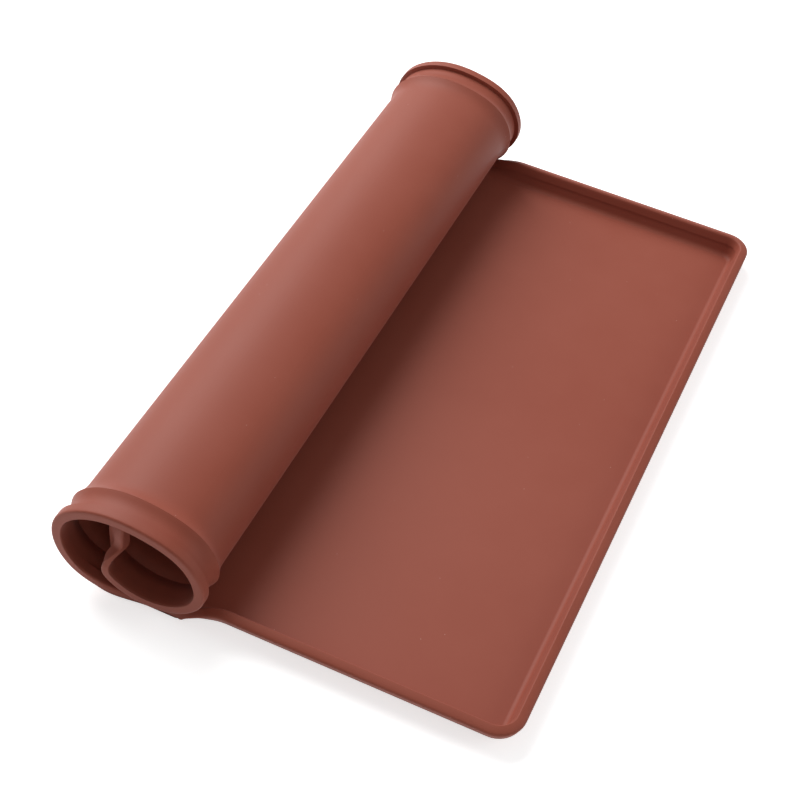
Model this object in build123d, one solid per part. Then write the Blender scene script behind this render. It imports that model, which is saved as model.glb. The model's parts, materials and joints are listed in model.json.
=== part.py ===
"""Silicone baking mat: a shallow tray with beaded rims, its left end rolled up.

The mat lies on the table with +Z up. Its tray runs along X and its rims stand
up at the right, front and back. The rolled end curls up on the left, over the
top and in under itself, about the Y axis. Each strip of the roll is an arc of
its own, hinged to the next along the underside.
"""
import math
import os

from build123d import *

# Moulding, in millimetres and degrees
mat_length = 315.0
mat_width = 275.0
rim_height = 10.0
floor_thickness = 1.5
wall_thickness = 1.8
wall_slope = 70.0
bend_length = 5.0
bead_thickness = 3.8
bead_depth = 3.8
bead_overhang = 1.6
bead_rounding = 0.9
corner_radius = 10.0

# Rims where the roll has pulled them flat
pressed_slope = 3.0
pressed_overhang = 0.2
ridge_rise = 1.8
groove_rise = 0.4
bead_rise = 1.8
flare_length = 6.0
flare_rounding = 2.5

# Rims where they rise again beside the roll
flare_start = 9.0
flare_end = 28.0
flare_steps = 6

# Roll
roll_width = 57.3
roll_height = 42.3
roll_tilt = 8.4
layer_step = 6.5
tongue_radius = 15.6
tongue_turn_share = 1.02
tongue_easing_share = 0.11
tongue_slope = 40.0
end_flap_floor_length = 4.0
flap_headroom = 6.2
strip_count = 10
hinge_clearance = 1.0
overrun = 1.0
fit_share = 1e-9


def bend_radius(slope):
    """Radius of the underside where the floor turns up into the wall."""
    return bend_length / math.radians(slope)


def corner_loss():
    """How far rounding takes the upright bead's corners in."""
    slope = math.radians(wall_slope)
    return bead_rounding * (math.sin(slope) + math.cos(slope) - 1)


def upright_wall_length():
    """Length of the wall's outside from the bend to its top."""
    slope = math.radians(wall_slope)
    bend_rise = bend_radius(wall_slope) * (1 - math.cos(slope))
    bead_top = (bead_thickness - bead_overhang) * math.cos(slope) - corner_loss()
    return (rim_height - bend_rise - bead_top) / math.sin(slope)


wall_length = upright_wall_length()
rolled_rim_length = bend_length + wall_length


def upright_reach():
    """Distance from the fold line to the outside of the upright rim's bead."""
    slope = math.radians(wall_slope)
    bend = bend_radius(wall_slope) * math.sin(slope)
    bead = wall_length * math.cos(slope) + bead_overhang * math.sin(slope)
    return bend + bead - corner_loss()


rim_reach = upright_reach()
fold_y = mat_width / 2 - rim_reach
corner_inset = corner_radius - rim_reach

# The tongue rises until the end flap that stands on it has its headroom under the roll's top
end_flap_length = end_flap_floor_length + corner_radius
tongue_rise = roll_height - layer_step - end_flap_length - flap_headroom
end_flap_turn = 360 + math.degrees(math.acos(1 - tongue_rise / tongue_radius))


def heading(turn):
    """Direction in XZ in which the sheet runs after turning by so many degrees."""
    angle = math.radians(turn)
    return Vector(-math.cos(angle), 0, math.sin(angle))


def inward(turn):
    """Direction in XZ from the sheet to the inside of the roll."""
    angle = math.radians(turn)
    return Vector(math.sin(angle), 0, math.cos(angle))


def roll_radius(turn):
    """Radius of the underside of the roll where the sheet has turned so far."""
    half_width = (roll_width + layer_step) / 2
    half_height = (roll_height + layer_step / 2) / 2
    angle = math.radians(turn - roll_tilt)
    spread = (half_width * math.sin(angle)) ** 2 + (half_height * math.cos(angle)) ** 2
    spiral = (half_width * half_height) ** 2 / spread ** 1.5 - layer_step * turn / 360
    share = min(1, max(0, (turn / 360 - tongue_turn_share) / tongue_easing_share + 1 / 2))
    return spiral + (tongue_radius - spiral) * share


def strip_turns(length):
    """Turn of the sheet before the first strip and after each one."""
    turns = [0.0]
    for _ in range(strip_count):
        step = length / roll_radius(turns[-1])
        for _ in range(strip_count):
            step = length / roll_radius(turns[-1] + math.degrees(step) / 2)
        turns.append(turns[-1] + math.degrees(step))
    return turns


def fitted_strip_length():
    """Strip length with which the strips end at the end flap's turn."""
    low, high = roll_height / strip_count, 2 * math.pi * roll_width / strip_count
    while high - low > fit_share * roll_width:
        middle = (low + high) / 2
        if strip_turns(middle)[-1] < end_flap_turn:
            low = middle
        else:
            high = middle
    return (low + high) / 2


strip_length = fitted_strip_length()
turns = strip_turns(strip_length)
strip_bends = [after - before for before, after in zip(turns, turns[1:])]


def strip_radius(index):
    """Radius of the underside of one strip."""
    return strip_length / math.radians(strip_bends[index])


def unrolled_rises():
    """Slope of each strip and of the end flap when the curved strips lie unrolled on the table."""
    chords = [2 * strip_radius(index) * math.sin(math.radians(bend) / 2)
              for index, bend in enumerate(strip_bends)]
    sags = [chord / 2 * math.tan(math.radians(bend) / 4) for chord, bend in zip(chords, strip_bends)]
    step = (ridge_rise + max(sags)) / 2
    climb = math.degrees(math.asin(step / chords[0]))
    drop = math.degrees(math.asin(step / end_flap_length))
    return [climb, climb] + [0.0] * (strip_count - 3) + [-climb, -drop]


def hinge_folds():
    """How far each hinge turns between the rolled and the unrolled mat."""
    bends = [0.0] + strip_bends + [0.0]
    rises = [0.0] + unrolled_rises()
    return [(bends[index] + bends[index + 1]) / 2 + rises[index] - rises[index + 1]
            for index in range(strip_count + 1)]


folds = hinge_folds()


def hinge_places():
    """Points in XZ of the hinge lines, from the tray to the end flap."""
    places = [Vector(0, 0, 0)]
    for index in range(strip_count):
        radius = strip_radius(index)
        centre = places[-1] + inward(turns[index]) * radius
        places.append(centre - inward(turns[index + 1]) * radius)
    return places


hinges = hinge_places()
half_thickness_loss = sum(math.radians(bend) for bend in strip_bends) * floor_thickness / 2
rolled_length = strip_count * strip_length - half_thickness_loss + end_flap_length
tray_length = mat_length - rolled_length


def rim_outline(slope, overhang, inner_edge):
    """Face of a rim across its length: X out from the fold line, Y up from the underside."""
    angle = math.radians(slope)
    radius = bend_radius(slope)
    foot = Vector(radius * math.sin(angle), radius * (1 - math.cos(angle)))
    along = Vector(math.cos(angle), math.sin(angle))
    inside = Vector(-math.sin(angle), math.cos(angle))

    def on_bend(depth, share):
        return Vector((radius - depth) * math.sin(angle * share),
                      radius - (radius - depth) * math.cos(angle * share))

    def on_wall(length, depth):
        return foot + along * length + inside * depth

    under_bead = wall_length - bead_depth
    bead_inside = bead_thickness - overhang
    middle_depth = (floor_thickness + wall_thickness) / 2
    bead_top = [on_wall(wall_length, -overhang), on_wall(wall_length, bead_inside)]
    edges = [
        Line((-inner_edge, 0), (0, 0)),
        ThreePointArc((0, 0), on_bend(0, 1 / 2), foot),
        Polyline(foot, on_wall(under_bead, 0), on_wall(under_bead, -overhang), *bead_top,
                 on_wall(under_bead, bead_inside), on_wall(under_bead, wall_thickness),
                 on_wall(0, wall_thickness)),
        ThreePointArc(on_wall(0, wall_thickness), on_bend(middle_depth, 1 / 2),
                      (0, floor_thickness)),
        Polyline((0, floor_thickness), (-inner_edge, floor_thickness), (-inner_edge, 0)),
    ]
    face = make_face(edges)
    corners = [face.vertices().sort_by_distance(corner)[0] for corner in bead_top]
    return fillet(corners, bead_rounding)


def rolled_outline():
    """Face of a rim pulled flat in the roll: X out from the fold line, Y to the inside."""
    under_bead = rolled_rim_length - bead_depth
    bead_inside = bead_thickness - bead_rise
    face = make_face(Polyline(
        (-flare_length, 0), (0, -ridge_rise), (under_bead, -groove_rise),
        (under_bead, -bead_rise), (rolled_rim_length, -bead_rise),
        (rolled_rim_length, bead_inside), (under_bead, bead_inside),
        (under_bead, wall_thickness - groove_rise), (0, wall_thickness - ridge_rise),
        (-flare_length, floor_thickness), (-flare_length, 0)))
    ends = [point for point in face.vertices() if abs(point.X - rolled_rim_length) < bead_rounding]
    face = fillet(ends, bead_rounding)
    ridge = [point for point in face.vertices() if abs(point.X) < bead_rounding]
    return fillet(ridge, flare_rounding)


def side_plane(place, turn, side):
    """Plane across the sheet: X outwards to the front (-1) or back (1), Y to the inside."""
    out = Vector(0, side, 0)
    up = inward(turn)
    return Plane(origin=place + out * fold_y, x_dir=out, z_dir=out.cross(up))


def turned(face, index):
    """Solid of a strip: the face at the strip's start, turned about the strip's centre."""
    centre = hinges[index] + inward(turns[index]) * strip_radius(index)
    return revolve(face, Axis(centre, (0, 1, 0)), strip_bends[index])


def relief(place, turn, way, fold, side):
    """Wedge cut from the outside of a rolled rim, so that the strip can fold out flat."""
    reach = ridge_rise + overrun
    width = reach * math.tan(math.radians(fold / 2 + hinge_clearance))
    out = inward(turn) * -reach
    along = heading(turn) * way * width
    start = place + Vector(0, side * (fold_y - flare_length - overrun), 0)
    corner = make_face(Polyline(start, start + out, start + out + along, start))
    return extrude(corner, flare_length + rolled_rim_length + 2 * overrun, dir=(0, side, 0))


def strip_floor(index):
    """Floor of one strip of the roll, up to where its rims flare out."""
    half_width = fold_y - flare_length
    section = Plane(origin=hinges[index], x_dir=(0, 1, 0),
                    z_dir=Vector(0, 1, 0).cross(inward(turns[index])))
    face = section * Pos(0, floor_thickness / 2) * Rectangle(2 * half_width, floor_thickness)
    return turned(face, index)


def strip_rim(index, side):
    """Rim of one strip: pressed by the table, pulled flat in the roll, or rising on the tongue."""
    section = side_plane(hinges[index], turns[index], side)
    if index == 0:
        return turned(section * rim_outline(pressed_slope, pressed_overhang, flare_length), index)
    if index == strip_count - 1:
        return turned(section * rim_outline(tongue_slope, bead_overhang, flare_length), index)
    rim = turned(section * rolled_outline(), index)
    rim -= relief(hinges[index], turns[index], 1, folds[index], side)
    return rim - relief(hinges[index + 1], turns[index + 1], -1, folds[index + 1], side)


def upright_face():
    """Face of the upright rim, with the floor's edge up to the corner's centre."""
    return rim_outline(wall_slope, bead_overhang, corner_inset)


def side_rim(start, end, side):
    """Upright rim along the front or back, in the tray's own frame."""
    plane = Plane(origin=(start, side * fold_y, 0), x_dir=(0, side, 0), z_dir=(side, 0, 0))
    return extrude(plane * upright_face(), end - start, dir=(1, 0, 0))


def end_rim(end):
    """Upright rim across the end, in the tray's own frame."""
    straight = mat_width - 2 * corner_radius
    plane = Plane(origin=(end - rim_reach, -straight / 2, 0), x_dir=(1, 0, 0), z_dir=(0, -1, 0))
    return extrude(plane * upright_face(), straight, dir=(0, 1, 0))


def corner_rim(end, side):
    """Quarter turn of the upright rim, in the tray's own frame."""
    centre = Vector(end - corner_radius, side * (mat_width / 2 - corner_radius), 0)
    plane = Plane(origin=centre + Vector(corner_inset, 0, 0), x_dir=(1, 0, 0), z_dir=(0, -1, 0))
    return revolve(plane * upright_face(), Axis(centre, (0, 0, 1)), side * 90)


def plate(start, end, half_width):
    """Flat floor between the rims."""
    return Pos((start + end) / 2, 0, floor_thickness / 2) * Box(
        end - start, 2 * half_width, floor_thickness)


def rising_overhang(slope):
    """Overhang that keeps the bead of a half-risen rim above the table."""
    angle = math.radians(slope)
    height = bend_radius(slope) * (1 - math.cos(angle))
    height += (wall_length - bead_depth) * math.sin(angle)
    return min(bead_overhang, max(pressed_overhang, height / math.cos(angle) - pressed_overhang))


def rising_rim(side):
    """Rim between the pressed stretch under the roll and the upright one."""
    faces = []
    for step in range(flare_steps + 1):
        share = step / flare_steps
        slope = pressed_slope + (wall_slope - pressed_slope) * (1 - (1 - share) ** 2)
        start = flare_start + (flare_end - flare_start) * share
        plane = Plane(origin=(start, side * fold_y, 0), x_dir=(0, side, 0), z_dir=(side, 0, 0))
        faces.append(plane * rim_outline(slope, rising_overhang(slope), corner_inset))
    return loft(faces, ruled=True)


def pressed_rim(side):
    """Rim pressed flat under the roll."""
    plane = Plane(origin=(0, side * fold_y, 0), x_dir=(0, side, 0), z_dir=(side, 0, 0))
    face = plane * rim_outline(pressed_slope, pressed_overhang, corner_inset)
    return extrude(face, flare_start, dir=(1, 0, 0))


def tray_parts():
    """Flat part of the mat, from the first hinge to the end rim."""
    straight_end = tray_length - corner_radius
    parts = {"tray_floor": plate(0, straight_end, mat_width / 2 - corner_radius),
             "right_rim": end_rim(tray_length)}
    for name, side in (("front", -1), ("back", 1)):
        parts[name + "_rim"] = side_rim(flare_end, straight_end, side)
        parts[name + "_rim_rise"] = rising_rim(side)
        parts[name + "_rim_pressed"] = pressed_rim(side)
        parts[name + "_corner"] = corner_rim(tray_length, side)
    return parts


def roll_parts():
    """Strips of the roll, numbered from the tray to the end flap."""
    parts = {}
    for index in range(strip_count):
        number = f"{index + 1:02d}"
        parts["roll_floor_" + number] = strip_floor(index)
        parts["roll_front_rim_" + number] = strip_rim(index, -1)
        parts["roll_back_rim_" + number] = strip_rim(index, 1)
    return parts


def end_flap_parts():
    """Free end of the mat, built like the tray's end and set up at the last hinge."""
    place = Plane(origin=hinges[-1], x_dir=heading(turns[-1]), z_dir=inward(turns[-1]))
    half_width = mat_width / 2 - corner_radius
    return {"end_flap_rim": place * end_rim(end_flap_length),
            "end_flap_back_corner": place * corner_rim(end_flap_length, -1),
            "end_flap_front_corner": place * corner_rim(end_flap_length, 1),
            "end_flap_floor": place * plate(0, end_flap_floor_length, half_width)}


def main():
    """Write each part, with the middle of the whole above the origin."""
    parts = {**tray_parts(), **roll_parts(), **end_flap_parts()}
    extent = Compound(list(parts.values())).bounding_box()
    shift = Pos(-(extent.min.X + extent.max.X) / 2, 0, 0)
    os.makedirs("parts", exist_ok=True)
    for name, solid in parts.items():
        export_step(solid.moved(shift), f"parts/{name}.step")
    print("strip length", strip_length, "tray length", tray_length, "shift", shift.position.X)
    for place, turn, fold in zip(hinges, turns, folds):
        print("hinge", place.X + shift.position.X, place.Z, "turn", turn, "fold", fold)


main()
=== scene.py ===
"""Looks of the silicone baking mat: one sheet that lies flat on the right and rolls up on the left.

Every piece starts as a flat blank, cut into rows and given its bead, and is then
bent to the sheet's line: the rims turn up, and the rolled stretch curls over.
"""
import json
import math

import bmesh
import bpy
import numpy as np
from bpy.props import FloatProperty, FloatVectorProperty, PointerProperty
from mathutils import Matrix, Vector

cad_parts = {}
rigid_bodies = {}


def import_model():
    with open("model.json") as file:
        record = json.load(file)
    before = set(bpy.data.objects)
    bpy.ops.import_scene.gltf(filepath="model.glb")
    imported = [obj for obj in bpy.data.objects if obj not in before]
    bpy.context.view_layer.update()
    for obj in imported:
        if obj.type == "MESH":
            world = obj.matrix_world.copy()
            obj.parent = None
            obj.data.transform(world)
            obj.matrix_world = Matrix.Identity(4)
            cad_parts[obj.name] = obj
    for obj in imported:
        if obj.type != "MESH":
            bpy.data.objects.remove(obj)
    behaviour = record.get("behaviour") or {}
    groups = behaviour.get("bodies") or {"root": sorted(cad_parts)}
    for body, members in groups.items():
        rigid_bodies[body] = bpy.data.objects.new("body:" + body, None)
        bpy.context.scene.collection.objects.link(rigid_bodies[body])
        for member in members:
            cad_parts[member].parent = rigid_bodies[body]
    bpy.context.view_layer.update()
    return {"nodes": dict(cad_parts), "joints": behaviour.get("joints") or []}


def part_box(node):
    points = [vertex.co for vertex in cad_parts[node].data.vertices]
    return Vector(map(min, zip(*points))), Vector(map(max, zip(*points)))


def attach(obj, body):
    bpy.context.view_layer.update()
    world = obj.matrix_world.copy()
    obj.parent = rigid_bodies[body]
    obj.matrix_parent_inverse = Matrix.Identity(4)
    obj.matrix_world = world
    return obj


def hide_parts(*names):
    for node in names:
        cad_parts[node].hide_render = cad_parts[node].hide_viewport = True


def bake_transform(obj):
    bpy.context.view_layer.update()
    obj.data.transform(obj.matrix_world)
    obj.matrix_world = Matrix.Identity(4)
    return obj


bl_info = {
    "name": "Rolled baking mat",
    "version": (1, 0, 0),
    "blender": (4, 5, 0),
    "location": "View3D > Sidebar > Baking mat",
    "description": "Models a silicone baking mat with a beaded rim, half rolled up",
    "category": "Add Mesh",
}

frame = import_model()

HINGES = [Vector(joint["pos_m"]) for joint in frame["joints"]]
BODIES = [frame["joints"][0]["parent"]] + [joint["child"] for joint in frame["joints"]]
TRAY, FLAP = BODIES[0], BODIES[-1]
TRAY_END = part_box("right_rim")[1].x
HALF_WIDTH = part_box("back_rim")[1].y
FLAP_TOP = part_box("end_flap_rim")[1].z
LAST_HINGE = len(HINGES) - 1

# Width of the thin row at each end of a piece, and the least distance that counts
SEAM = 0.00002
NEAR = 1e-6

# Where the rims change along the roll, in strips
LIE_DOWN_START = 0.5
PULL_START = 0.75
ROLL_BEAD_START = 2
RELEASE_BEFORE_END, RELEASE_LENGTH = 0.9, 0.6
FLAP_RISE_BEFORE_END, FLAP_RISE_LENGTH = 0.75, 0.9
RISE_SHARPNESS = 4
UPRIGHT_STATION = -1.0

# The fold line: a fine crease along the ridge
CREASE_WIDTH = 0.0005
CREASE_DEPTH = 0.00012
CREASE_ROWS = [-0.0005, -0.0002, 0.0, 0.0002, 0.0005]

# Rows of the blanks
FLARE_STEPS = 8
BEND_STEPS = 8
BEFORE_BEAD_FAR, BESIDE_BEAD, TIP_ROW = 0.0012, 0.0003, 0.0008
FLOOR_STEPS_ACROSS, FLOOR_STEPS_ALONG = 24, 12
ROLL_HALF_STEPS_ACROSS, ROLL_ROWS_SHARE = 6, 0.9
ROLL_STEPS_ALONG = 16
RISE_STEPS, RISE_MARGIN = 26, 0.004
RIM_STEPS = 8
END_RIM_STEPS = 16
CORNER_STEPS = 12
BEAD_SEGMENTS = 4
SMOOTH_ANGLE = math.radians(42)
BLEND_INSET = 0.001

# Stage
FLOOR_SIZE, FLOOR_DROP, FLOOR_GLOW = 12, 0.0002, 0.65
WORLD_STRENGTH = 0.24
LAMPS = {"key": ((-0.87, 0.55, 1.0), (-0.02, 0.0, 0.02), 1.1),
         "side": ((1.0, 0.25, 0.55), (0.0, 0.0, 0.02), 0.7),
         "fill": ((0.35, -1.3, 0.9), (0.0, 0.0, 0.02), 1.1)}
CAMERA_RIGHT = (0.90897, 0.40918, 0.0825)
CAMERA_UP = (-0.35169, 0.64155, 0.68189)
CAMERA_BACK = (0.22645, -0.64801, 0.72647)
CAMERA_PLACE = (TRAY_END + 0.04945, -0.4295, 0.4698)
SENSOR_WIDTH = 36
CLIP_START = 0.01


class MatSizes(bpy.types.PropertyGroup):
    """Sizes of the moulding."""
    floor_thickness: FloatProperty(name="Floor thickness", description="Thickness of the sheet's floor",
                                   default=0.0015, unit="LENGTH", precision=4)
    wall_thickness: FloatProperty(name="Wall thickness", description="Thickness of the rim's wall",
                                  default=0.0018, unit="LENGTH", precision=4)
    wall_slope: FloatProperty(name="Wall slope", description="How steeply the rim's wall stands",
                              default=math.radians(70), subtype="ANGLE")
    bend_length: FloatProperty(name="Bend length",
                               description="Length of the bend from the floor to the wall",
                               default=0.005, unit="LENGTH", precision=4)
    wall_length: FloatProperty(name="Wall length", description="Length of the wall above the bend",
                               default=0.00706, unit="LENGTH", precision=5)
    bead_thickness: FloatProperty(name="Bead thickness",
                                  description="Thickness of the bead along the rim's edge",
                                  default=0.0038, unit="LENGTH", precision=4)
    bead_depth: FloatProperty(name="Bead depth", description="Height of the bead, along the wall",
                              default=0.0038, unit="LENGTH", precision=4)
    bead_overhang: FloatProperty(name="Bead overhang",
                                 description="How far the bead stands out from the wall",
                                 default=0.0016, unit="LENGTH", precision=4)
    bead_rounding: FloatProperty(name="Bead rounding", description="Radius of the bead's edges",
                                 default=0.0009, unit="LENGTH", precision=4)
    corner_radius: FloatProperty(name="Corner radius", description="Outer radius of the mat's corners",
                                 default=0.010, unit="LENGTH", precision=4)


class RollSizes(bpy.types.PropertyGroup):
    """Sizes of the rims where the roll pulls them flat."""
    pressed_slope: FloatProperty(name="Pressed slope",
                                 description="Slope of the rims pressed flat under the roll",
                                 default=math.radians(3), subtype="ANGLE")
    pressed_overhang: FloatProperty(name="Pressed overhang",
                                    description="Overhang of the bead pressed to the table",
                                    default=0.0002, unit="LENGTH", precision=4)
    rise_start: FloatProperty(name="Rise start",
                              description="Distance from the first hinge where the rims begin to rise",
                              default=0.009, unit="LENGTH", precision=4)
    rise_end: FloatProperty(name="Rise end",
                            description="Distance from the first hinge where the rims stand upright",
                            default=0.028, unit="LENGTH", precision=4)
    ridge: FloatProperty(name="Ridge", description="Height of the ridge where the wall was folded",
                         default=0.0018, unit="LENGTH", precision=4)
    groove: FloatProperty(name="Groove", description="Height of the groove between the ridge and the bead",
                          default=0.0004, unit="LENGTH", precision=4)
    bead: FloatProperty(name="Bead", description="How far the bead stands out round the roll",
                        default=0.0022, unit="LENGTH", precision=4)
    tuck: FloatProperty(name="Tuck", description="How far the roll squeezes the pressed rims in",
                        default=0.003, unit="LENGTH", precision=4)
    flare: FloatProperty(name="Flare", description="Length over which the roll flares up to the ridge",
                         default=0.008, unit="LENGTH", precision=4)


class Finish(bpy.types.PropertyGroup):
    """Finish of the silicone."""
    cocoa: FloatVectorProperty(name="Cocoa", description="Colour of the silicone", subtype="COLOR",
                               default=(0.312, 0.070, 0.040), min=0, max=1)
    dusty: FloatVectorProperty(name="Dusty", description="Colour where the surface looks powdery",
                               subtype="COLOR", default=(0.365, 0.100, 0.065), min=0, max=1)
    roughness: FloatProperty(name="Roughness", description="Roughness of the satin surface", default=0.55,
                             min=0, max=1)


class StageLook(bpy.types.PropertyGroup):
    """Floor, lamps and camera."""
    white: FloatProperty(name="White", description="Brightness of the floor", default=0.9, min=0, max=1)
    key: FloatProperty(name="Key lamp", description="Power of the soft lamp at the back left", default=22.0,
                       unit="POWER")
    side: FloatProperty(name="Side lamp", description="Power of the soft lamp at the right", default=2.5,
                        unit="POWER")
    fill: FloatProperty(name="Fill lamp", description="Power of the soft lamp at the front", default=0.7,
                        unit="POWER")
    lens: FloatProperty(name="Lens", description="Focal length on a 36 mm sensor", default=75.97,
                        subtype="DISTANCE_CAMERA")


# The line of the sheet, seen from the front

def sheet_turns():
    """Turn of the sheet at each hinge, from the directions between the hinges."""
    turns = [0.0]
    for here, there in zip(HINGES, HINGES[1:]):
        chord = math.atan2(there.z - here.z, here.x - there.x)
        while chord < turns[-1]:
            chord += 2 * math.pi
        turns.append(2 * chord - turns[-1])
    return turns


def strip_length(turns):
    """Length of one strip of the roll along its arc."""
    half_bend = (turns[1] - turns[0]) / 2
    return (HINGES[1] - HINGES[0]).length * half_bend / math.sin(half_bend)


TURNS = sheet_turns()
STRIP = strip_length(TURNS)


def spline_slopes():
    """Directions at the hinges of the smooth line through them, in XZ."""
    places = np.array([(hinge.x, hinge.z) for hinge in HINGES]) / STRIP
    count = len(places)
    matrix, aim = np.zeros((count, count)), np.zeros((count, 2))
    matrix[0, 0] = matrix[-1, -1] = 1
    aim[0] = (-math.cos(TURNS[0]), math.sin(TURNS[0]))
    aim[-1] = (-math.cos(TURNS[-1]), math.sin(TURNS[-1]))
    for row in range(1, count - 1):
        matrix[row, row - 1:row + 2] = (1, 4, 1)
        aim[row] = 3 * (places[row + 1] - places[row - 1])
    return places, np.linalg.solve(matrix, aim)


SPLINE_PLACES, SPLINE_SLOPES = spline_slopes()


def sheet_line(station):
    """Place, heading and inward direction, in XZ, at distances along the sheet from the first hinge."""
    share = np.clip(np.asarray(station, float) / STRIP, 0, LAST_HINGE)
    strip = np.minimum(share.astype(int), LAST_HINGE - 1)
    u = (share - strip)[:, None]
    start, end = SPLINE_PLACES[strip], SPLINE_PLACES[strip + 1]
    out, back = SPLINE_SLOPES[strip], SPLINE_SLOPES[strip + 1]
    place = ((2 * u ** 3 - 3 * u ** 2 + 1) * start + (u ** 3 - 2 * u ** 2 + u) * out
             + (3 * u ** 2 - 2 * u ** 3) * end + (u ** 3 - u ** 2) * back)
    heading = ((6 * u ** 2 - 6 * u) * start + (3 * u ** 2 - 4 * u + 1) * out
               + (6 * u - 6 * u ** 2) * end + (3 * u ** 2 - 2 * u) * back)
    heading /= np.linalg.norm(heading, axis=1)[:, None]
    beyond = np.asarray(station, float) - share * STRIP
    place = place * STRIP + heading * beyond[:, None]
    return place, heading, np.stack([heading[:, 1], -heading[:, 0]], 1)


def ease(value):
    """0 to 1, with a soft start and end."""
    share = np.clip(value, 0, 1)
    return share * share * (3 - 2 * share)


# The section of the rim

def rim_slope(station):
    """Slope of the rim's wall along the sheet."""
    mat, roll = bpy.context.scene.mat_sizes, bpy.context.scene.roll_sizes
    risen = np.clip((-station - roll.rise_start) / (roll.rise_end - roll.rise_start), 0, 1)
    risen_share = (1 - (1 - risen) ** 2) * ease(risen * RISE_SHARPNESS)
    rise = roll.pressed_slope + (mat.wall_slope - roll.pressed_slope) * risen_share
    rise = rise * (1 - ease(station / STRIP - LIE_DOWN_START))
    last = station / STRIP - LAST_HINGE
    return rise + mat.wall_slope * ease((last + FLAP_RISE_BEFORE_END) / FLAP_RISE_LENGTH)


def pulled_flat(station):
    """1 where the roll has pulled the rims flat, so that ridge and groove show."""
    last = station / STRIP - LAST_HINGE
    released = ease((last + RELEASE_BEFORE_END) / RELEASE_LENGTH)
    return ease(station / STRIP - PULL_START) * (1 - released)


def rim_tuck(station):
    """How far the roll's weight squeezes the pressed rims in along the sheet."""
    roll = bpy.context.scene.roll_sizes
    beside = 1 - ease((-station - roll.rise_start) / (roll.rise_end - roll.rise_start))
    return roll.tuck * np.where(station > 0, 1 - ease(station / STRIP), beside)


def rim_overhang(station):
    """Overhang of the bead along the sheet."""
    mat, roll = bpy.context.scene.mat_sizes, bpy.context.scene.roll_sizes
    slope = rim_slope(station)
    lift = (mat.wall_length - rim_tuck(station)) * np.sin(slope) + mat.bend_length * slope / 2
    room = np.clip(lift / np.cos(slope) - roll.pressed_overhang, roll.pressed_overhang, mat.bead_overhang)
    flat = pulled_flat(station)
    inside = station > STRIP * ROLL_BEAD_START
    return np.where(inside, mat.bead_overhang, room) * (1 - flat) + roll.bead * flat


def rim_relief(across):
    """How far the flattened rim stands out, across its length from the fold line."""
    roll, mat = bpy.context.scene.roll_sizes, bpy.context.scene.mat_sizes
    before = np.clip(1 + across / roll.flare, 0, 1)
    after = np.clip(1 - across / mat.bend_length, 0, 1)
    inner, outer = roll.ridge * before ** 3, roll.groove + (roll.ridge - roll.groove) * after ** 2
    crest = np.where(across < 0, inner, outer)
    return crest - CREASE_DEPTH * np.exp(-(across / CREASE_WIDTH) ** 2)


def formed_section(across, depth, station):
    """Distance out from the fold line and height above the underside of points of the blank."""
    mat = bpy.context.scene.mat_sizes
    slope, flat = rim_slope(station), pulled_flat(station)
    on_bead = (across > bead_start() - NEAR) & ((depth < -NEAR) | (depth > mat.floor_thickness + NEAR))
    walled = np.clip(across / mat.bend_length, 0, 1)
    wall_share = np.clip((across - mat.bend_length) / (bead_start() - mat.bend_length), 0, 1)
    thickened = 1 + walled * (mat.wall_thickness / mat.floor_thickness - 1)
    wall_depth = depth * thickened - flat * rim_relief(across)
    bead_depth = depth + mat.bead_overhang - rim_overhang(station)
    depth = np.where(on_bead, bead_depth, wall_depth)
    across = across - rim_tuck(station) * wall_share
    bent = np.clip(across, 0, mat.bend_length)
    straight = np.maximum(across - mat.bend_length, 0)
    angle = np.maximum(slope * bent / mat.bend_length, 1e-9)
    out = np.minimum(across, 0) + bent * np.sin(angle) / angle + straight * np.cos(angle)
    up = bent * (1 - np.cos(angle)) / angle + straight * np.sin(angle)
    return out - depth * np.sin(angle), up + depth * np.cos(angle)


def rim_length():
    """Length of the rim across, from the fold line to its edge."""
    mat = bpy.context.scene.mat_sizes
    return mat.bend_length + mat.wall_length


def bead_start():
    """Where the bead begins, across from the fold line."""
    return rim_length() - bpy.context.scene.mat_sizes.bead_depth


def rim_reach():
    """Distance from the fold line to the outside of the upright bead."""
    mat = bpy.context.scene.mat_sizes
    sine, cosine = math.sin(mat.wall_slope), math.cos(mat.wall_slope)
    bend = mat.bend_length * sine / mat.wall_slope
    rounding = mat.bead_rounding * (sine + cosine - 1)
    return bend + mat.wall_length * cosine + mat.bead_overhang * sine - rounding


# Blanks

def blank_plate(name, start, end):
    """A flat plate between two corners, ready for edit mode."""
    bpy.ops.object.select_all(action="DESELECT")
    middle = (start + end) / 2
    bpy.ops.mesh.primitive_cube_add(size=1, location=middle)
    piece = bpy.context.object
    piece.name = piece.data.name = name
    piece.scale = end - start
    bpy.ops.object.transform_apply(location=True, rotation=False, scale=True)
    bpy.ops.object.mode_set(mode="EDIT")
    return piece


def cut_rows(direction, places):
    """Cut the whole blank across at each place along a direction."""
    for place in places:
        bpy.ops.mesh.select_all(action="SELECT")
        bpy.ops.mesh.bisect(plane_co=Vector(direction) * place, plane_no=direction)


def pick_faces(piece, wanted):
    """Select the faces that pass a test of their middle and normal."""
    bpy.ops.mesh.select_all(action="DESELECT")
    shape = bmesh.from_edit_mesh(piece.data)
    for face in shape.faces:
        face.select_set(wanted(face.calc_center_median(), face.normal))
    bmesh.update_edit_mesh(piece.data)


def pick_edges(piece, wanted):
    """Select the edges that pass a test of their two ends."""
    bpy.ops.mesh.select_all(action="DESELECT")
    shape = bmesh.from_edit_mesh(piece.data)
    for edge in shape.edges:
        if wanted(*[point.co for point in edge.verts]):
            edge.select_set(True)
    bmesh.update_edit_mesh(piece.data)


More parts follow.
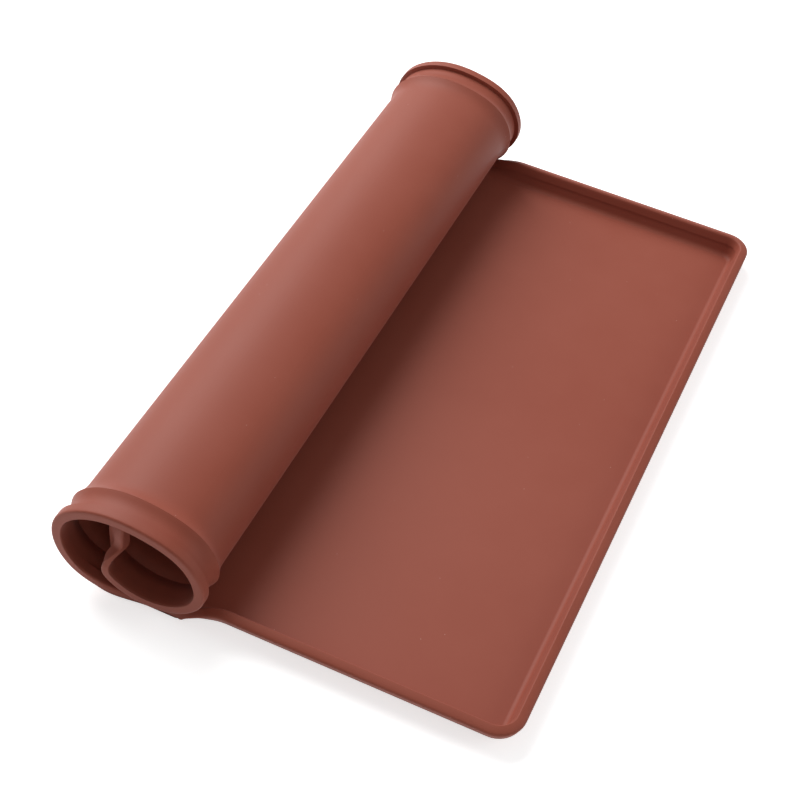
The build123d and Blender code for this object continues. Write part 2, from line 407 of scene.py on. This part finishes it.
def grow_bead(piece, sides, edge_place):
    """Extrude the bead from both faces along the blank's edges, and round it."""
    mat = bpy.context.scene.mat_sizes
    start = bead_start()
    inner_reach = mat.bead_thickness - mat.bead_overhang - mat.floor_thickness
    for way, reach in ((-1, mat.bead_overhang), (1, inner_reach)):
        pick_faces(piece, lambda middle, normal: normal.z * way > 0.9 and any(
            side * middle.y > edge_place + start for side in sides))
        bpy.ops.mesh.extrude_region_move(TRANSFORM_OT_translate={"value": (0, 0, way * reach)})
    tip = edge_place + rim_length()
    low, high = -mat.bead_overhang, mat.bead_thickness - mat.bead_overhang

    def on_tip(first, second):
        at_tip = all(abs(abs(point.y) - tip) < NEAR for point in (first, second))
        on_face = abs(first.z - low) < NEAR or abs(first.z - high) < NEAR
        return at_tip and on_face and abs(first.z - second.z) < NEAR
    pick_edges(piece, on_tip)
    bpy.ops.mesh.bevel(offset=mat.bead_rounding, segments=BEAD_SEGMENTS, profile=0.5, affect="EDGES")


def across_rows():
    """Where the rim's blank is cut across, out from the fold line."""
    mat, roll = bpy.context.scene.mat_sizes, bpy.context.scene.roll_sizes
    flare = [-roll.flare * (1 - step / FLARE_STEPS) for step in range(FLARE_STEPS)]
    bend = [mat.bend_length * step / BEND_STEPS for step in range(1, BEND_STEPS + 1)]
    wall = [bead_start() - BEFORE_BEAD_FAR, bead_start() - BESIDE_BEAD, bead_start()]
    bead = [bead_start() + BESIDE_BEAD, rim_length() - mat.bead_rounding - TIP_ROW]
    return flare + CREASE_ROWS + bend + wall + bead


def rows_between(start, end, count):
    """Even cuts between two ends, with a thin row at each end."""
    inner = [start + (end - start) * step / count for step in range(1, count)]
    return [start + SEAM] + inner + [end - SEAM]


def form(piece, places):
    """Move every point of the blank to its place."""
    bpy.ops.object.mode_set(mode="OBJECT")
    mesh = piece.data
    points = np.zeros(len(mesh.vertices) * 3)
    mesh.vertices.foreach_get("co", points)
    mesh.vertices.foreach_set("co", places(points.reshape(-1, 3)).ravel())
    mesh.update()
    bpy.ops.object.mode_set(mode="EDIT")
    bpy.ops.mesh.select_all(action="SELECT")
    bpy.ops.mesh.normals_make_consistent(inside=False)
    bpy.ops.object.mode_set(mode="OBJECT")
    bpy.ops.object.shade_smooth_by_angle(angle=SMOOTH_ANGLE)
    mesh.materials.append(bpy.data.materials["cocoa silicone"])
    return piece


# Forms

def rolled_form(points):
    """Blank of the whole width: X along the sheet, Y across it, Z from its underside."""
    station, side, depth = points[:, 0], np.sign(points[:, 1]), points[:, 2]
    across = np.abs(points[:, 1]) - fold_line()
    out, up = formed_section(across, depth, station)
    place, _, inward = sheet_line(station)
    return np.stack([place[:, 0] + inward[:, 0] * up, side * (fold_line() + out),
                     place[:, 1] + inward[:, 1] * up], 1)


def fold_line():
    """Distance of the long rims' fold lines from the middle of the mat."""
    return HALF_WIDTH - rim_reach()


def straight_form(side):
    """Blank of a long rim: X along the sheet from the first hinge towards the tray's end."""
    def places(points):
        along, across, depth = points.T
        out, up = formed_section(across, depth, -along)
        return np.stack([HINGES[0].x + along, side * (fold_line() + out), up], 1)
    return places


def upright_form(matrix, turn):
    """Blank of an upright rim: X along it, or round the corner's middle where it turns."""
    inset = bpy.context.scene.mat_sizes.corner_radius - rim_reach()

    def places(points):
        along, across, depth = points.T
        out, up = formed_section(across, depth, np.full(len(along), UPRIGHT_STATION))
        if turn:
            angle, reach = along, np.maximum(inset + out, 0)
            flat = np.stack([np.cos(angle) * reach, np.sin(angle) * reach, up], 1)
        else:
            flat = np.stack([inset + out, along, up], 1)
        return flat @ np.array(matrix.to_3x3()).T + np.array(matrix.translation)
    return places


def tray_place(x, y):
    """Place of an upright form in the tray, its rim facing right."""
    return Matrix.Translation((x, y, 0))


def flap_place(x, y):
    """Place of an upright form in the end flap, its rim facing along the flap."""
    turn = TURNS[-1]
    heading = Vector((-math.cos(turn), 0, math.sin(turn)))
    inward = Vector((math.sin(turn), 0, math.cos(turn)))
    axes = Matrix((heading, inward.cross(heading), inward)).transposed()
    start = HINGES[-1] + heading * x
    matrix = axes.to_4x4()
    matrix.translation = start + axes.col[1] * y
    return matrix


def rim_blank(name, start, end, rows, edge):
    """Blank of one rim: X along it, Y out from the fold line, Z from the underside."""
    mat = bpy.context.scene.mat_sizes
    piece = blank_plate(name, Vector((start, -edge, 0)), Vector((end, rim_length(), mat.floor_thickness)))
    cut_rows((0, 1, 0), [-edge + SEAM] + [row for row in across_rows() if row > -edge / 2])
    grow_bead(piece, (1,), 0)
    cut_rows((1, 0, 0), rows)
    return piece


class MATTRAY_OT_floor(bpy.types.Operator):
    """Flat floor of the tray"""
    bl_idname = "mat.tray_floor"
    bl_label = "Tray floor"

    def execute(self, context):
        mat = context.scene.mat_sizes
        start = HINGES[0].x + STRIP / 2
        end, half = TRAY_END - mat.corner_radius, HALF_WIDTH - mat.corner_radius
        piece = blank_plate("tray_floor_sheet", Vector((start, -half, 0)),
                            Vector((end, half, mat.floor_thickness)))
        cut_rows((0, 1, 0), rows_between(-half, half, FLOOR_STEPS_ACROSS))
        cut_rows((1, 0, 0), rows_between(start, end, FLOOR_STEPS_ALONG))
        form(piece, lambda points: points)
        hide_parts("tray_floor")
        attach(piece, TRAY)
        return {"FINISHED"}


class MATTRAY_OT_long_rims(bpy.types.Operator):
    """Front and back rims of the tray, pressed flat under the roll and rising beside it"""
    bl_idname = "mat.tray_long_rims"
    bl_label = "Tray long rims"

    def execute(self, context):
        mat, roll = context.scene.mat_sizes, context.scene.roll_sizes
        start, end = STRIP / 2, TRAY_END - mat.corner_radius - HINGES[0].x
        inset = mat.corner_radius - rim_reach()
        risen = roll.rise_end + RISE_MARGIN
        rows = rows_between(start, risen, RISE_STEPS) + rows_between(risen, end, RIM_STEPS)
        for name, side in (("front", -1), ("back", 1)):
            piece = rim_blank(f"tray_{name}_rim", start, end, rows, inset)
            form(piece, straight_form(side))
            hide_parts(f"{name}_rim", f"{name}_rim_rise", f"{name}_rim_pressed")
            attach(piece, TRAY)
        return {"FINISHED"}


def upright_end(prefix, place, end, body, nodes):
    """End rim and its two corners, for the tray and for the end flap."""
    mat = bpy.context.scene.mat_sizes
    half = HALF_WIDTH - mat.corner_radius
    inset = mat.corner_radius - rim_reach()
    straight = end - mat.corner_radius
    piece = rim_blank(f"{prefix}_end_rim", -half, half, rows_between(-half, half, END_RIM_STEPS), inset)
    form(piece, upright_form(place(straight, 0), False))
    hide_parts(nodes[0])
    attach(piece, body)
    thin = SEAM / mat.corner_radius
    for name, side in (("front", -1), ("back", 1)):
        low, high = sorted((0.0, side * math.pi / 2))
        inner = [low + (high - low) * step / CORNER_STEPS for step in range(1, CORNER_STEPS)]
        rows = [low + thin] + inner + [high - thin]
        corner = rim_blank(f"{prefix}_{name}_corner", low, high, rows, inset)
        form(corner, upright_form(place(straight, side * half), True))
        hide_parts(nodes[1].format(name))
        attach(corner, body)


class MATTRAY_OT_end(bpy.types.Operator):
    """End rim of the tray and its two corners"""
    bl_idname = "mat.tray_end"
    bl_label = "Tray end"

    def execute(self, context):
        upright_end("tray", tray_place, TRAY_END, TRAY, ("right_rim", "{}_corner"))
        return {"FINISHED"}


class MATROLL_OT_bends(bpy.types.Operator):
    """Rolled stretch of the sheet, one piece for each bend between two strips"""
    bl_idname = "mat.roll_bends"
    bl_label = "Roll bends"

    def execute(self, context):
        mat = context.scene.mat_sizes
        half = fold_line() + rim_length()
        nodes = [name for name in frame["nodes"] if name.startswith("roll_")]
        for number in range(len(HINGES)):
            start = STRIP * (number - 0.5)
            end = STRIP * (number + 0.5) if number < LAST_HINGE else STRIP * number + flap_floor()
            piece = blank_plate(f"roll_bend_{number + 1:02d}", Vector((start, -half, 0)),
                                Vector((end, half, mat.floor_thickness)))
            rows = across_rows()
            cut_rows((0, 1, 0), [-row - fold_line() for row in rows] + [row + fold_line() for row in rows])
            cut_rows((0, 1, 0), [fold_line() * step / ROLL_HALF_STEPS_ACROSS * ROLL_ROWS_SHARE
                                 for step in range(-ROLL_HALF_STEPS_ACROSS, ROLL_HALF_STEPS_ACROSS + 1)])
            grow_bead(piece, (-1, 1), fold_line())
            cut_rows((1, 0, 0), rows_between(start, end, ROLL_STEPS_ALONG))
            form(piece, rolled_form)
            own = [name for name in nodes if name.endswith(f"_{number + 1:02d}")]
            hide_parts(*(own or ["end_flap_floor"]))
            near, far = (sheet_line([place])[0][0] for place in (start + BLEND_INSET, end - BLEND_INSET))
            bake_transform(piece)
        return {"FINISHED"}


def flap_floor():
    """Length of the end flap before its corners begin."""
    return (FLAP_TOP - HINGES[-1].z) / math.sin(TURNS[-1]) - bpy.context.scene.mat_sizes.corner_radius


class MATROLL_OT_flap(bpy.types.Operator):
    """Free end of the mat inside the roll, with its rim and corners"""
    bl_idname = "mat.end_flap"
    bl_label = "End flap"

    def execute(self, context):
        mat = context.scene.mat_sizes
        upright_end("flap", flap_place, flap_floor() + mat.corner_radius, FLAP,
                    ("end_flap_rim", "end_flap_{}_corner"))
        return {"FINISHED"}


# Material

class Channel:
    """A node's output that adds its Math nodes where it is calculated with."""

    def __init__(self, board, socket):
        self.board, self.socket = board, socket

    def math(self, operation, first, second):
        return self.board.node("Math", {"operation": operation}, {0: first, 1: second})

    def __add__(self, other):
        return self.math("ADD", self, other)

    __radd__ = __add__

    def __mul__(self, other):
        return self.math("MULTIPLY", self, other)


class Board:
    """The nodes of one material."""

    def __init__(self, name):
        self.material = bpy.data.materials.new(name)
        self.material.use_nodes = True
        self.tree = self.material.node_tree
        self.tree.nodes.clear()

    def node(self, kind, settings, values, output=0):
        """Add a node with its settings and the values or links of its sockets."""
        node = self.tree.nodes.new("ShaderNode" + kind)
        for name, value in settings.items():
            setattr(node, name, value)
        for name, value in values.items():
            socket = node.inputs[name]
            if isinstance(value, Channel):
                self.tree.links.new(value.socket, socket)
            else:
                socket.default_value = (*value, 1) if socket.type == "RGBA" else value
        return Channel(self, node.outputs[output]) if len(node.outputs) else None


class MATLOOK_OT_silicone(bpy.types.Operator):
    """Satin cocoa silicone with a fine matt tooth and a little dust"""
    bl_idname = "mat.silicone"
    bl_label = "Silicone"

    def execute(self, context):
        finish = context.scene.mat_finish
        board = Board("cocoa silicone")
        place = board.node("TexCoord", {}, {}, "Object")

        def cloud(scale, detail, rough):
            return board.node("TexNoise", {}, {
                "Vector": place, "Scale": scale, "Detail": detail, "Roughness": rough})
        broad, middle, fine = cloud(9.0, 2.0, 0.5), cloud(60.0, 3.0, 0.55), cloud(1900.0, 2.0, 0.6)
        powder = board.node("MapRange", {}, {
            "Value": broad + middle * 0.5, "From Min": 0.55, "From Max": 0.95})
        colour = board.node("Mix", {"data_type": "RGBA"}, {
            "Factor": powder * 0.35, 6: tuple(finish.cocoa), 7: tuple(finish.dusty)}, 2)
        speck = board.node("TexVoronoi", {}, {"Vector": place, "Scale": 330.0}, "Distance")
        chance = board.node("TexWhiteNoise", {}, {"Vector": board.node(
            "TexVoronoi", {}, {"Vector": place, "Scale": 330.0}, "Position")}, "Value")
        mote = board.node("Math", {"operation": "LESS_THAN"}, {0: speck, 1: 0.055})
        rare = board.node("Math", {"operation": "GREATER_THAN"}, {0: chance, 1: 0.93})
        colour = board.node("Mix", {"data_type": "RGBA"}, {
            "Factor": mote * rare * 0.55, 6: colour, 7: (0.62, 0.40, 0.34)}, 2)
        rough = finish.roughness - 0.04 + middle * 0.10
        tooth = board.node("Bump", {}, {"Strength": 0.16, "Distance": 0.00012, "Height": fine + middle * 0.6})
        surface = board.node("BsdfPrincipled", {}, {
            "Base Color": colour, "Roughness": rough, "Normal": tooth,
            "IOR": 1.42, "Specular IOR Level": 0.38,
            "Sheen Weight": 0.16, "Sheen Roughness": 0.45, "Sheen Tint": (0.86, 0.62, 0.62)})
        board.node("OutputMaterial", {}, {"Surface": surface})
        return {"FINISHED"}


# Stage

class MATLOOK_OT_stage(bpy.types.Operator):
    """Pale floor, soft lamps and the camera"""
    bl_idname = "mat.stage"
    bl_label = "Stage"

    def execute(self, context):
        look = context.scene.mat_stage
        bpy.ops.object.select_all(action="DESELECT")
        bpy.ops.mesh.primitive_plane_add(size=FLOOR_SIZE, location=(0, 0, -FLOOR_DROP))
        floor = bpy.context.object
        floor.name = "pale_floor"
        board = Board("pale floor")
        diffuse = board.node("BsdfDiffuse", {}, {"Color": (look.white,) * 3})
        glow = board.node("Emission", {}, {"Color": (1.0, 1.0, 1.0), "Strength": FLOOR_GLOW})
        seen = board.node("Math", {"operation": "MAXIMUM"}, {
            0: board.node("LightPath", {}, {}, "Is Camera Ray"),
            1: board.node("LightPath", {}, {}, "Is Glossy Ray")})
        lit = board.node("AddShader", {}, {0: diffuse, 1: glow})
        mixed = board.node("MixShader", {}, {0: seen, 1: diffuse, 2: lit})
        board.node("OutputMaterial", {}, {"Surface": mixed})
        floor.data.materials.append(board.material)

        world = bpy.data.worlds.new("soft room")
        context.scene.world = world
        world.use_nodes = True
        shade = world.node_tree.nodes["Background"]
        shade.inputs["Color"].default_value = (1, 1, 1, 1)
        shade.inputs["Strength"].default_value = WORLD_STRENGTH

        for name, (place, target, size) in LAMPS.items():
            self.lamp(name, place, target, size, getattr(look, name))
        self.camera(look)
        context.scene.view_settings.view_transform = "Standard"
        return {"FINISHED"}

    def lamp(self, name, place, target, size, power):
        """A square soft lamp that faces the mat."""
        bpy.ops.object.light_add(type="AREA", location=place)
        lamp = bpy.context.object
        lamp.name, lamp.data.size, lamp.data.energy = name, size, power
        lamp.rotation_euler = (Vector(target) - Vector(place)).to_track_quat("-Z", "Y").to_euler()

    def camera(self, look):
        """The camera at the photograph's angle."""
        bpy.ops.object.camera_add()
        camera = bpy.context.object
        axes = Matrix((CAMERA_RIGHT, CAMERA_UP, CAMERA_BACK)).transposed().to_4x4()
        axes.translation = CAMERA_PLACE
        camera.matrix_world = axes
        camera.data.lens, camera.data.sensor_width = look.lens, SENSOR_WIDTH
        camera.data.clip_start = CLIP_START
        bpy.context.scene.camera = camera


class VIEW3D_PT_baking_mat(bpy.types.Panel):
    """Lists the pieces and looks of the baking mat"""
    bl_label = "Baking mat"
    bl_space_type = "VIEW_3D"
    bl_region_type = "UI"
    bl_category = "Baking mat"

    def draw(self, context):
        for operator in OPERATORS:
            self.layout.operator(operator.bl_idname)


OPERATORS = (MATLOOK_OT_silicone, MATTRAY_OT_floor, MATTRAY_OT_long_rims, MATTRAY_OT_end, MATROLL_OT_bends,
             MATROLL_OT_flap, MATLOOK_OT_stage)
GROUPS = {"mat_sizes": MatSizes, "roll_sizes": RollSizes, "mat_finish": Finish, "mat_stage": StageLook}


def register():
    for group in GROUPS.values():
        bpy.utils.register_class(group)
    for name, group in GROUPS.items():
        setattr(bpy.types.Scene, name, PointerProperty(type=group))
    for operator in OPERATORS:
        bpy.utils.register_class(operator)
    bpy.utils.register_class(VIEW3D_PT_baking_mat)


def unregister():
    bpy.utils.unregister_class(VIEW3D_PT_baking_mat)
    for operator in reversed(OPERATORS):
        bpy.utils.unregister_class(operator)
    for name in GROUPS:
        delattr(bpy.types.Scene, name)
    for group in GROUPS.values():
        bpy.utils.unregister_class(group)


def main():
    """Model the mat piece by piece and set the stage."""
    register()
    bpy.ops.mat.silicone()
    bpy.ops.mat.tray_floor()
    bpy.ops.mat.tray_long_rims()
    bpy.ops.mat.tray_end()
    bpy.ops.mat.roll_bends()
    bpy.ops.mat.end_flap()
    bpy.ops.mat.stage()


if __name__ == "__main__":
    main()
